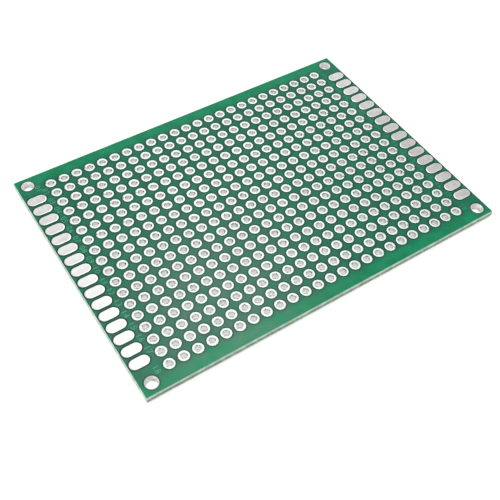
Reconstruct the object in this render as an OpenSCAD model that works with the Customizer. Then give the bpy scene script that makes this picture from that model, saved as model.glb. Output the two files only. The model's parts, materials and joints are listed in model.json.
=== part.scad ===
// Double-sided prototype board.
//
// A plate of glass-epoxy laminate carries a full grid of plated lead holes, a
// column of long solder pads at each short end and a screw hole in each corner.
// Each lead hole is lined by one eyelet: a barrel of plating with a ring land on
// both faces. A thin film of solder mask covers each face between the pads. The
// board was snapped out of a panel along V scores, so all four edges are bevelled
// on both faces, with the raw snapped web between.
//
// Lengths are in millimetres. X runs along the board, Y across it and Z up. The
// origin is in the middle of the board, on the plane that the lower pads rest on.

/* [Board] */
// Length between the snapped ends
board_l = 70; // [40:0.5:120]
// Width between the snapped sides
board_w = 50; // [30:0.5:100]
// Finished thickness, over the pads of both faces
board_t = 1.6; // [1.0:0.1:2.4]

/* [Scored edges] */
// Laminate that the V scores leave between them, to be snapped through
web_t = 0.5; // [0.3:0.05:0.7]
// Slope of a score's wall, from upright
score_angle = 15; // [5:1:30]

/* [Lead holes] */
// Distance from one lead hole to the next, along both axes
pitch = 2.54; // [2.3:0.01:5.08]
// Finished bore of a lead hole
hole_d = 1.1; // [0.6:0.05:1.3]
// Wall of the plated barrel
plating_t = 0.05; // [0.02:0.01:0.1]
// Diameter of the ring land round a hole
land_d = 1.9; // [1.7:0.05:2.1]
// Bevel at the mouth of a plated bore
mouth_bevel = 0.06; // [0.02:0.01:0.1]
// Least width of face between a scored side and the nearest ring land
side_margin = 2.15; // [0.5:0.05:4]

/* [Edge pads] */
// Length of an edge pad, along the board
edge_pad_l = 3.4; // [2.4:0.1:5]
// Width of an edge pad
edge_pad_w = 1.9; // [1.2:0.05:2.05]
// Width of face left between an edge pad and the scored end
edge_pad_margin = 0.22; // [0.14:0.01:1]
// Least gap between an edge pad and the nearest ring land
edge_pad_gap = 0.8; // [0.3:0.05:2]
// Rows at each side that have no edge pad, to clear the screw holes
clear_rows = 1; // [1:1:4]

/* [Metal and mask] */
// Thickness of the tinned metal of a pad or ring land
metal_t = 0.07; // [0.07:0.01:0.12]
// Bevel along the outer edge of a pad or ring land
metal_bevel = 0.04; // [0.01:0.01:0.06]
// Thickness of the solder mask film
mask_t = 0.03; // [0.02:0.01:0.05]
// Bare laminate between a pad and the mask round it
mask_gap = 0.1; // [0.02:0.01:0.12]

/* [Screw holes] */
// Diameter of a corner screw hole
screw_hole_d = 2.1; // [1.6:0.1:3]
// Distance of a screw hole from both snapped edges at its corner
screw_hole_inset = 2; // [1.8:0.1:3]
// Bare laminate between a screw hole and the mask round it
screw_mask_gap = 0.2; // [0.05:0.05:0.3]

/* [Hidden] */
$fn = 64;
// What a cut runs past the surface that it opens
over = 0.5;

// Layers, from the lower pads' plane upwards
core_t = board_t - 2 * metal_t;
core_bottom = metal_t;
core_top = core_bottom + core_t;

// The scores are equally deep, and the faces end where their walls start
score_depth = (core_t - web_t) / 2;
score_inset = score_depth * tan(score_angle);
face_l = board_l - 2 * score_inset;
face_w = board_w - 2 * score_inset;

hole_r = hole_d / 2;
drill_r = hole_r + plating_t;
land_r = land_d / 2;

// The grid holds as many lead holes as fit between the margins
end_margin = edge_pad_margin + edge_pad_l + edge_pad_gap;
columns = 1 + floor((face_l - 2 * (end_margin + land_r)) / pitch);
rows = 1 + floor((face_w - 2 * (side_margin + land_r)) / pitch);
function column_x(c) = (c - (columns + 1) / 2) * pitch;
function row_y(r) = ((rows + 1) / 2 - r) * pitch;
function row_name(r) = str("eyelets_row_", r < 10 ? "0" : "", r);

edge_pad_x = face_l / 2 - edge_pad_margin - edge_pad_l / 2;
screw_x = board_l / 2 - screw_hole_inset;
screw_y = board_w / 2 - screw_hole_inset;

laminate_colour = [0.80, 0.82, 0.68];
mask_colour = [0.10, 0.45, 0.30];
tin_colour = [0.86, 0.87, 0.86];

// ---- Plans, shared by the laminate, the masks and the pads ----

// Puts its child at each lead hole of row r.
module along_row(r) {
    for (c = [1:columns]) translate([column_x(c), row_y(r)]) children();
}

// Puts its child at each edge pad of one end: side is -1 on the left, 1 on the right.
module along_end(side) {
    for (r = [1 + clear_rows:rows - clear_rows])
        translate([side * edge_pad_x, row_y(r)]) children();
}

// Puts its child at the four corner screw holes.
module at_corners() {
    for (x = [-screw_x, screw_x], y = [-screw_y, screw_y]) translate([x, y]) children();
}

// Round-ended bar, l long and w wide, lying along X.
module slot_plan(l, w) {
    square([l - w, w], center = true);
    for (x = [-1, 1] * (l - w) / 2) translate([x, 0]) circle(d = w);
}

// ---- Laminate ----

// What one V score takes off the board's edge: the edge is at x = 0, the face at y = 0.
module score_section() {
    polygon([
        [0, -score_depth],
        [-(score_depth + over) * tan(score_angle), over],
        [over, over],
        [over, -score_depth]
    ]);
}

// The V scores round the upper face.
module face_scores() {
    for (quarter = [0:3]) {
        half = (quarter % 2 == 0 ? board_l : board_w) / 2;
        rotate([0, 0, 90 * quarter]) translate([half, 0, 0]) rotate([90, 0, 0])
            linear_extrude(board_l + board_w, center = true) score_section();
    }
}

// Glass-epoxy plate: drilled for the barrels and the screws, scored on both faces.
module laminate_core() color(laminate_colour) difference() {
    translate([0, 0, core_bottom]) linear_extrude(core_t) difference() {
        square([board_l, board_w], center = true);
        for (r = [1:rows]) along_row(r) circle(drill_r);
        at_corners() circle(d = screw_hole_d);
    }
    translate([0, 0, core_top]) face_scores();
    translate([0, 0, core_bottom]) mirror([0, 0, 1]) face_scores();
}

// ---- Solder mask ----

// The film over one face, open round each land, edge pad and screw hole.
module mask_film() color(mask_colour) linear_extrude(mask_t) difference() {
    square([face_l, face_w], center = true);
    for (r = [1:rows]) along_row(r) circle(land_r + mask_gap);
    for (side = [-1, 1]) along_end(side)
        slot_plan(edge_pad_l + 2 * mask_gap, edge_pad_w + 2 * mask_gap);
    at_corners() circle(screw_hole_d / 2 + screw_mask_gap);
}

module top_solder_mask() translate([0, 0, core_top]) mask_film();

module bottom_solder_mask() translate([0, 0, core_bottom - mask_t]) mask_film();

// ---- Plated lead holes ----

// Half section of one eyelet: barrel wall and both ring lands, bevelled at the mouths
// of the bore and round the lands. It runs from the lower mouth outwards and up.
module eyelet_section() {
    polygon([
        [hole_r, mouth_bevel],
        [hole_r + mouth_bevel, 0],
        [land_r - metal_bevel, 0],
        [land_r, metal_bevel],
        [land_r, core_bottom],
        [drill_r, core_bottom],
        [drill_r, core_top],
        [land_r, core_top],
        [land_r, board_t - metal_bevel],
        [land_r - metal_bevel, board_t],
        [hole_r + mouth_bevel, board_t],
        [hole_r, board_t - mouth_bevel]
    ]);
}

// One row of eyelets, from the left end to the right.
module eyelets_row(r) color(tin_colour) along_row(r) rotate_extrude() eyelet_section();

// ---- Edge pads ----

// Half section across an edge pad, with its upper edge bevelled.
module edge_pad_section() {
    half = edge_pad_w / 2;
    polygon([[0, 0], [half, 0], [half, metal_t - metal_bevel], [half - metal_bevel, metal_t], [0, metal_t]]);
}

// One edge pad: a straight bar between two half-turned ends.
module edge_pad() {
    bar_l = edge_pad_l - edge_pad_w;
    rotate([90, 0, 90]) linear_extrude(bar_l, center = true) {
        edge_pad_section();
        mirror([1, 0]) edge_pad_section();
    }
    for (side = [0, 1]) mirror([side, 0, 0]) translate([bar_l / 2, 0, 0])
        rotate([0, 0, -90]) rotate_extrude(angle = 180) edge_pad_section();
}

// The pads of one end, on the upper face.
module edge_pads_top(side) color(tin_colour)
    translate([0, 0, core_top]) along_end(side) edge_pad();

// The pads of one end, on the lower face.
module edge_pads_bottom(side) color(tin_colour)
    translate([0, 0, core_bottom]) mirror([0, 0, 1]) along_end(side) edge_pad();

// ---- The board ----

laminate_core();
top_solder_mask();
bottom_solder_mask();
for (r = [1:rows])
    eyelets_row(r);
edge_pads_top(-1);  // left_edge_pads_top
edge_pads_bottom(-1);  // left_edge_pads_bottom
edge_pads_top(1);  // right_edge_pads_top
edge_pads_bottom(1);  // right_edge_pads_bottom
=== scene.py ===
"""Looks of a bare double-sided prototype board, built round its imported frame.

The board is a glass-epoxy plate with 18 rows of 24 tinned eyelets, a column of
long solder pads at each end and a screw hole in each corner. Both faces wear a
green film of solder mask, and the edges show the raw laminate, scored on both
faces and snapped. Lengths are in metres, in the frame's own axes: X along the
board, Y across it, Z up, with the lower pads at Z = 0.
"""

import functools
import json
import logging
import math
from dataclasses import dataclass
from enum import Enum
from typing import ClassVar

import bpy
import numpy as np
from mathutils import Matrix, Vector


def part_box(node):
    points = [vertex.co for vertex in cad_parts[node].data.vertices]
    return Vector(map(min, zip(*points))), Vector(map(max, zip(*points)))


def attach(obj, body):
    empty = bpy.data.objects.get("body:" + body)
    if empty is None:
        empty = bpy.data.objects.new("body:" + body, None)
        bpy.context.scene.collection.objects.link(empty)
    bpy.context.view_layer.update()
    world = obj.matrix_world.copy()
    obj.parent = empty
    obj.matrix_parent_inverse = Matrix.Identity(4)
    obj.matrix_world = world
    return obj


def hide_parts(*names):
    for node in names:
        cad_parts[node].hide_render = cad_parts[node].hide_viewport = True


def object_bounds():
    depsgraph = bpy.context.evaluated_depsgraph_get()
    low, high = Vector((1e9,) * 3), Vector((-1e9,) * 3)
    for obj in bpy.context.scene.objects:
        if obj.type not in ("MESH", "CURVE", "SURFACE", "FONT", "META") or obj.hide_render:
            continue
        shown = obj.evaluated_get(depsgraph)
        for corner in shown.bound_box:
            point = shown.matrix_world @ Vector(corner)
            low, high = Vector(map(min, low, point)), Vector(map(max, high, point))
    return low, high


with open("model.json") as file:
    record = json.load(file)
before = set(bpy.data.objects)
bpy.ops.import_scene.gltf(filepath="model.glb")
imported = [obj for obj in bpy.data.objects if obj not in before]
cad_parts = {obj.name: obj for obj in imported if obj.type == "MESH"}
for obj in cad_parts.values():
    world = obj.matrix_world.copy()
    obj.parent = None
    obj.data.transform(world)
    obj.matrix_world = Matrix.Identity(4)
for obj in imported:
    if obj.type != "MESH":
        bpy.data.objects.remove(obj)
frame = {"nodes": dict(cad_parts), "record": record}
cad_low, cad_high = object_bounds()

logging.basicConfig(level=logging.INFO, format="%(message)s")
log = logging.getLogger("prototype_board")

MM = 0.001
BODY = "root"
# Two faces that meet at more than this angle keep a sharp edge
CREASE = math.radians(35.0)
# Wall of an eyelet's barrel
PLATING = 0.05 * MM
# Bare laminate that the mask leaves round a land or pad, and round a screw hole
MASK_GAP, SCREW_MASK_GAP = 0.1 * MM, 0.2 * MM
# Share of a length within which two places count as one
NEAR = 1e-6
# Size of a cell whose corners are welded, and its shift, which keeps corners off borders
CELL, CELL_SHIFT = 1e-8, 0.437
# Ramp that is 1 all along an axis
EVERYWHERE = (0.0, MM, 1.0, 1.0)
# Ranges of a noise that ramps take up: nearly all of it, most of it, and its middle
ALL, MOST, MIDDLE = (0.2, 0.8), (0.25, 0.75), (0.3, 0.7)

Span = tuple[float, float]
Colour = tuple[float, float, float]
Socket = bpy.types.NodeSocket
Material = bpy.types.Material
Array = np.ndarray
# A mesh's points, (n, 3), and its faces, as arrays of point numbers
Shell = tuple[np.ndarray, list[np.ndarray]]


class Face(Enum):
    """One of the board's two faces, and the way that it looks along Z."""

    UPPER = 1
    LOWER = -1

    @property
    def word(self) -> str:
        """What the frame's names call it."""
        return "top" if self is Face.UPPER else "bottom"


class End(Enum):
    """One of the board's two short ends, and the way that it lies along X."""

    LEFT = -1
    RIGHT = 1


# ---- Sizes, read from the frame ----


@dataclass(frozen=True)
class BoardSizes:
    """Sizes and places of the board's features, in metres.

    Attributes:
        length, width: the board over its snapped edges.
        face_length, face_width: a face between its scores.
        bottom, top: the planes of the lower and the upper pads.
        core_bottom, core_top: the laminate's faces.
        film_bottom, film_top: the outer surfaces of the lower and the upper mask.
        pitch: from one lead hole to the next.
        column_x, row_y: the middles of the columns and of the rows, row 01 first.
        hole_r, land_r: finished bore and ring land of an eyelet.
        pad_x, pad_length, pad_width: an edge pad's middle, and its size.
        pad_y: the middles of the edge pads of one end.
        screw_x, screw_y, screw_r: place and radius of a screw hole.
    """

    length: float
    width: float
    face_length: float
    face_width: float
    bottom: float
    top: float
    core_bottom: float
    core_top: float
    film_bottom: float
    film_top: float
    pitch: float
    column_x: Array
    row_y: Array
    hole_r: float
    land_r: float
    pad_x: float
    pad_length: float
    pad_width: float
    pad_y: Array
    screw_x: float
    screw_y: float
    screw_r: float

    @classmethod
    def from_frame(cls, record: dict) -> "BoardSizes":
        """Reads the sizes from the frame's boxes and from the record's mounts.

        Args:
            record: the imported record.

        Returns:
            The board's sizes.
        """
        mounts = {m["name"]: m["dims"] for m in record["mounts"]}
        screws = mounts["corner_screw_holes"]
        rows = row_nodes()
        core_low, core_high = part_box("laminate_core")
        upper_low, upper_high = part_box("top_solder_mask")
        row_low, row_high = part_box(rows[0])
        last_low, last_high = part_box(rows[-1])
        pads_low, pads_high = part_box("left_edge_pads_top")
        land_r = (row_high.y - row_low.y) / 2
        first_y, last_y = (row_high.y + row_low.y) / 2, (last_high.y + last_low.y) / 2
        pitch = (first_y - last_y) / (len(rows) - 1)
        first_x, last_x = row_low.x + land_r, row_high.x - land_r
        row_y = np.linspace(first_y, last_y, len(rows))
        pads = math.floor((pads_high.y - pads_low.y) / pitch) + 1
        spare = (len(rows) - pads) // 2
        return cls(
            length=core_high.x - core_low.x,
            width=core_high.y - core_low.y,
            face_length=upper_high.x - upper_low.x,
            face_width=upper_high.y - upper_low.y,
            bottom=cad_low.z,
            top=cad_high.z,
            core_bottom=core_low.z,
            core_top=core_high.z,
            film_bottom=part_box("bottom_solder_mask")[0].z,
            film_top=upper_high.z,
            pitch=pitch,
            column_x=np.linspace(first_x, last_x, round((last_x - first_x) / pitch) + 1),
            row_y=row_y,
            hole_r=mounts["lead_hole_first"]["r_mm"] * MM,
            land_r=land_r,
            pad_x=-(pads_low.x + pads_high.x) / 2,
            pad_length=pads_high.x - pads_low.x,
            pad_width=(pads_high.y - pads_low.y) - (pads - 1) * pitch,
            pad_y=row_y[spare : len(rows) - spare],
            screw_x=screws["spacing_x_mm"] / 2 * MM,
            screw_y=screws["spacing_y_mm"] / 2 * MM,
            screw_r=screws["hole_r_mm"] * MM,
        )


def row_nodes() -> list[str]:
    """Names of the frame's rows of eyelets, row 01 first."""
    return sorted(n for n in frame["nodes"] if n.startswith("eyelets_row_"))


# ---- Meshes ----


def put(name: str, data: bpy.types.ID) -> bpy.types.Object:
    """Adds an object to the scene, at the origin.

    Args:
        name, data: the object's name and its data.

    Returns:
        The object.
    """
    holder = bpy.data.objects.new(name, data)
    bpy.context.scene.collection.objects.link(holder)
    return holder


def bands(low: Array, high: Array) -> Array:
    """Quads between closed outlines of point numbers and the outlines beside them."""
    return np.stack([low, np.roll(low, -1, -1), np.roll(high, -1, -1), high], -1).reshape(-1, 4)


def open_edges(quads: Array) -> Array:
    """Finds the edges that only one quad uses.

    Each edge is numbered by its two ends in order, and it is open where no quad has the
    same two in the other order.

    Args:
        quads: point numbers, of shape (n, 4).

    Returns:
        Pairs of point numbers, with the quad on their left.
    """
    edges = np.stack([quads, np.roll(quads, -1, 1)], -1).reshape(-1, 2)
    span = int(quads.max()) + 1
    forward, backward = edges @ [span, 1], edges @ [1, span]
    return edges[~np.isin(forward, backward)]


def slab(plan: Array, quads: Array, edges: Array, top: float, bottom: float) -> Shell:
    """Two level copies of a plan, the lower one facing down, walled along some edges.

    Args:
        plan: the plan's points, of shape (n, 2).
        quads: its quads, as point numbers.
        edges: the edges to wall, with their quads on the left.
        top, bottom: heights of the copies.

    Returns:
        Points of shape (2 * n, 3), the upper copy's first, and the faces.
    """
    count = len(plan)
    points = np.concatenate([np.column_stack([plan, np.full(count, z)]) for z in (top, bottom)])
    a, b = edges.T
    return points, [quads, quads[:, ::-1] + count, np.stack([a, a + count, b + count, b], 1)]


def copies(quads: Array, places: Array) -> Array:
    """A flat patch of quads, (n, 4, 2), at each of several places, (m, 2)."""
    return (quads[None] + places[:, None, None, :]).reshape(-1, 4, 2)


def weld(patches: list[Array]) -> tuple[Array, Array]:
    """Joins flat patches of quads into one sheet.

    Corners whose places fall in the same cell of a fine grid become one point.

    Args:
        patches: corners of the patches' quads, of shape (quads, 4, 2), anticlockwise.

    Returns:
        The sheet's points, (n, 2), and its quads as point numbers, (m, 4).
    """
    corners = np.concatenate(patches).reshape(-1, 2)
    cells = np.floor(corners / CELL + CELL_SHIFT).astype(np.int64)
    _, first, number = np.unique(cells, axis=0, return_index=True, return_inverse=True)
    return corners[first], number.reshape(-1, 4)


def grid_patch(x: Array, y: Array) -> Array:
    """Quads between lines of constant x and lines of constant y, both rising."""
    c = np.stack(np.meshgrid(x, y, indexing="ij"), -1)
    return np.stack([c[:-1, :-1], c[1:, :-1], c[1:, 1:], c[:-1, 1:]], 2).reshape(-1, 4, 2)


def ring_patch(outline: Array, opening: Array) -> Array:
    """Quads between two closed outlines of as many points, both anticlockwise."""
    return np.stack([outline, np.roll(outline, -1, 0), np.roll(opening, -1, 0), opening], 1)


def mirror_patch(quads: Array, sx: int, sy: int) -> Array:
    """A patch mirrored where sx or sy is -1, with its quads still anticlockwise."""
    mirrored = quads * np.array([sx, sy])
    return mirrored[:, ::-1] if sx * sy < 0 else mirrored


def box_outline(x: Array, y: Array) -> Array:
    """Outline of a rectangle, anticlockwise from its lowest corner.

    Args:
        x, y: places of its points along its sides, rising.

    Returns:
        The outline's points, of shape (n, 2).
    """
    sides = (x[:-1], y[:1]), (x[-1:], y[:-1]), (x[:0:-1], y[-1:]), (x[:1], y[:0:-1])
    return np.concatenate([np.stack(np.broadcast_arrays(*side), 1) for side in sides])


def slot_outline(bar: float, radius: float, half_turn: list[tuple]) -> Array:
    """Round-ended slot along X: half a turn of its outline, and then the other half.

    Each point lies at its angle on the circle of an end, which is moved along the bar.

    Args:
        bar: length of the straight part, 0 for a circle.
        radius: radius of the ends.
        half_turn: stretches, anticlockwise, of first and last angle in degrees, first
            and last place along the bar from -1 to 1, and steps.

    Returns:
        The outline's points, of shape (n, 2).
    """
    spans = [np.linspace([a, p], [b, q], steps + 1)[:-1] for a, b, p, q, steps in half_turn]
    angle, place = np.concatenate(spans).T
    angle = np.radians(angle)
    half = np.stack([place * bar / 2 + radius * np.cos(angle), radius * np.sin(angle)], 1)
    return np.concatenate([half, -half])


@dataclass(frozen=True)
class Openings:
    """Openings of one sheet of the board: the slots are left out where there are none.

    Attributes:
        hole_r: radius round each lead hole.
        screw_r: radius round each screw hole.
        slot_bar, slot_r: straight part and end radius round each edge pad.
    """

    hole_r: float
    screw_r: float
    slot_bar: float = 0.0
    slot_r: float = 0.0


@dataclass
class FacePlan:
    """Plan of one face, as cells of one pitch, each with its own opening.

    A lead hole has a square cell. An edge pad's cell reaches from the grid to the
    scored end, and the cell of a screw hole takes in the first row and the margin.

    Attributes:
        sizes: the board's sizes.
        steps: steps along one pitch.
        end_steps: steps along an edge pad's cell, two of them along its straight part.
        margin_steps: steps across a side margin.
    """

    sizes: BoardSizes
    steps: int = 6
    end_steps: int = 8
    margin_steps: int = 3

    def pad_cell(self, end: Array, cell: Array, openings: Openings) -> Array:
        """Cell of an edge pad at the right end, with its opening if it has one.

        Args:
            end, cell: the cell's lines along X and across Y, rising.
            openings: the sheet's openings.

        Returns:
            The cell's quads, of shape (n, 4, 2).
        """
        if not openings.slot_r:
            return grid_patch(end, cell)
        eighth = (self.end_steps - 2) // 2
        slot = slot_outline(openings.slot_bar, openings.slot_r, [
            (-135, -90, -1, -1, eighth), (-90, -90, -1, 1, 2), (-90, -45, 1, 1, eighth),
            (-45, 45, 1, 1, self.steps),
        ])
        return ring_patch(box_outline(end, cell), slot + np.array([self.sizes.pad_x, 0.0]))

    def sheet(self, openings: Openings) -> tuple[Array, Array]:
        """The whole face with its openings, each cell mirrored to where it recurs.

        Args:
            openings: the sheet's openings.

        Returns:
            The face's points, of shape (n, 2), and its quads as point numbers, (m, 4).
        """
        s = self.sizes
        half = s.pitch / 2
        cell = np.linspace(-half, half, self.steps + 1)
        end = np.linspace(s.column_x[-1] + half, s.face_length / 2, self.end_steps + 1)
        margin = np.linspace(s.row_y[0] + half, s.face_width / 2, self.margin_steps + 1)
        centres = np.stack(np.meshgrid(s.column_x, s.row_y, indexing="ij"), -1).reshape(-1, 2)
        turns = [(-135, -45, 0, 0, self.steps), (-45, 45, 0, 0, self.steps)]
        hole = slot_outline(0.0, openings.hole_r, turns)
        corner = box_outline(end, np.concatenate([s.row_y[0] + cell, margin[1:]]))
        middle = np.array([s.screw_x, s.screw_y])
        spoke = corner - middle
        circle = middle + openings.screw_r * spoke / np.linalg.norm(spoke, axis=1)[:, None]
        above, beside = grid_patch(cell, margin), self.pad_cell(end, cell, openings)
        columns = np.stack([s.column_x, np.zeros(len(s.column_x))], 1)
        pads = np.stack([np.zeros(len(s.pad_y)), s.pad_y], 1)
        patches = [copies(ring_patch(box_outline(cell, cell), hole), centres)]
        for sign in (-1, 1):
            patches.append(copies(mirror_patch(above, 1, sign), columns))
            patches.append(copies(mirror_patch(beside, sign, 1), pads))
            patches += [mirror_patch(ring_patch(corner, circle), sign, sy) for sy in (-1, 1)]
        return weld(patches)


# ---- Finishes ----


class Nodes:
    """Adds nodes to a material's or the world's tree, and links them."""

    def __init__(self, owner: bpy.types.ID) -> None:
        """Clears the owner's tree.

        Args:
            owner: a material or a world.
        """
        owner.use_nodes = True
        self.tree = owner.node_tree
        self.tree.nodes.clear()

    def add(self, kind: str, inputs: dict | None = None, **settings: object) -> bpy.types.Node:
        """Adds one node.

        Args:
            kind: the node's type, without the word ShaderNode.
            inputs: a value or another node's output for each input, by name or number.
            settings: the node's own properties.

        Returns:
            The new node.
        """
        node = self.tree.nodes.new("ShaderNode" + kind)
        for key, value in settings.items():
            setattr(node, key, value)
        for key, value in (inputs or {}).items():
            if isinstance(value, Socket):
                self.tree.links.new(value, node.inputs[key])
            else:
                node.inputs[key].default_value = value
        return node

    def math(self, operation: str, *values: object) -> Socket:
        """Output of a Math node over one, two or three values."""
        return self.add("Math", dict(enumerate(values)), operation=operation).outputs[0]

    def product(self, *factors: object) -> Socket:
        """All the factors multiplied together."""
        return functools.reduce(functools.partial(self.math, "MULTIPLY"), factors)

    def ramp(self, value: object, low: float, high: float, to_low: float = 0.0,
             to_high: float = 1.0) -> Socket:
        """A value carried smoothly from the range low to high onto to_low to to_high."""
        return self.add("MapRange", {0: value, 1: low, 2: high, 3: to_low, 4: to_high},
                        interpolation_type="SMOOTHSTEP").outputs[0]

    def blend(self, factor: object, first: object, second: object, mode: str = "MIX") -> Socket:
        """Two colours mixed by a factor.

        Args:
            factor: share of the second one.
            first, second: each a colour or another node's output.
            mode: the way that they mix.

        Returns:
            The mixed colour.
        """
        colours = [c if isinstance(c, Socket) else (*c, 1.0) for c in (first, second)]
        return self.add("Mix", {0: factor, 6: colours[0], 7: colours[1]}, data_type="RGBA",
                        blend_type=mode).outputs[2]

    def shaded(self, colour: object, factor: object) -> Socket:
        """A colour with its red, green and blue multiplied by one factor."""
        grey = self.add("CombineXYZ", {0: factor, 1: factor, 2: factor}).outputs[0]
        return self.blend(1.0, colour, grey, "MULTIPLY")

    def surface(self, height: Socket, strength: float, depth: float, inputs: dict) -> None:
        """Ends a material's tree with a surface in relief.

        Args:
            height: height of the relief, where 1 stands for its depth.
            strength, depth: how much of it shows, and its depth.
            inputs: the surface's other inputs, by name.
        """
        bump = self.add("Bump", {"Height": height, "Strength": strength, "Distance": depth})
        shader = self.add("BsdfPrincipled", {**inputs, "Normal": bump.outputs[0]})
        self.add("OutputMaterial", {"Surface": shader.outputs[0]})


class BoardNodes(Nodes):
    """Nodes of a material, with distances from a point of the board to its features.

    Attributes:
        sizes: the board's sizes.
        where: the point's position.
        blur: width of the edge of a rectangle.
    """

    blur = 0.1 * MM

    def __init__(self, material: Material, sizes: BoardSizes) -> None:
        """Clears the material's tree, and adds the point's position.

        Args:
            material, sizes: the nodes' owner, and the board's sizes.
        """
        super().__init__(material)
        self.sizes = sizes
        self.where = self.add("TexCoord").outputs["Object"]

    def noise(self, size: float, detail: float = 2.0, rough: float = 0.5,
              where: Socket | None = None) -> Socket:
        """Cloudy noise from 0 to 1, with patches of about the given size.

        Args:
            size: the patches' size.
            detail, rough: how many finer layers it has, and their strength.
            where: the position, if it isn't the point's own.

        Returns:
            The noise.
        """
        inputs = {"Vector": where or self.where, "Scale": 1 / size, "Detail": detail,
                  "Roughness": rough}
        return self.add("TexNoise", inputs).outputs[0]

    def axes(self) -> list[Socket]:
        """The point's three coordinates."""
        return list(self.add("SeparateXYZ", {0: self.where}).outputs)

    def from_middle(self) -> tuple[Socket, Socket]:
        """Distances from the board's middle along X and along Y."""
        x, y, _ = self.axes()
        return self.math("ABSOLUTE", x), self.math("ABSOLUTE", y)

    def from_plane(self, height: float) -> Socket:
        """Distance from the level plane at a height."""
        return self.math("ABSOLUTE", self.math("SUBTRACT", self.axes()[2], height))

    def off_line(self, place: Socket, shift: float = 0.0) -> Socket:
        """Signed distance from the nearest column or row of lead holes, moved by a shift."""
        half = self.sizes.pitch / 2
        return self.math("WRAP", self.math("SUBTRACT", place, half + shift), half, -half)

    def length(self, x: object, y: object) -> Socket:
        """Length of the plane vector x, y."""
        vector = self.add("CombineXYZ", {0: x, 1: y}).outputs[0]
        return self.add("VectorMath", {0: vector}, operation="LENGTH").outputs[1]

    def from_hole(self, x: float = 0.0, y: float = 0.0) -> Socket:
        """Distance from the nearest of the spots that lie x, y off each lead hole's middle."""
        along, across, _ = self.axes()
        return self.length(self.off_line(along, x), self.off_line(across, y))

    def from_pad(self) -> Socket:
        """Finds how far the nearest pad's straight middle line is, in an endless column.

        Returns:
            The distance.
        """
        s = self.sizes
        x, y = self.from_middle()
        along = self.math("ABSOLUTE", self.math("SUBTRACT", x, s.pad_x))
        beyond = self.math("SUBTRACT", along, (s.pad_length - s.pad_width) / 2)
        return self.length(self.math("MAXIMUM", beyond, 0.0), self.off_line(y))

    def from_screw(self) -> Socket:
        """Distance from the middle of the nearest screw hole."""
        places = zip(self.from_middle(), (self.sizes.screw_x, self.sizes.screw_y))
        return self.length(*(self.math("SUBTRACT", a, b) for a, b in places))

    def within(self, x_limit: float, y_limit: float) -> Socket:
        """1 within the rectangle of the given half length and half width, and else 0."""
        limits = zip(self.from_middle(), (x_limit, y_limit))
        return self.product(*(self.ramp(a, b - self.blur, b, 1.0, 0.0) for a, b in limits))


@dataclass(frozen=True)
class Finish:
    """What every finish of the board has.

    Attributes:
        name: the material's name.
        sizes: the board's sizes.
    """

    name: str
    sizes: BoardSizes

    def paint(self, nodes: BoardNodes) -> None:
        """Fills the material's tree: each finish has its own way."""
        raise NotImplementedError

    def build(self) -> Material:
        """Makes the material.

        Returns:
            The material.
        """
        material = bpy.data.materials.new(self.name)
        self.paint(BoardNodes(material, self.sizes))
        return material


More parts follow.
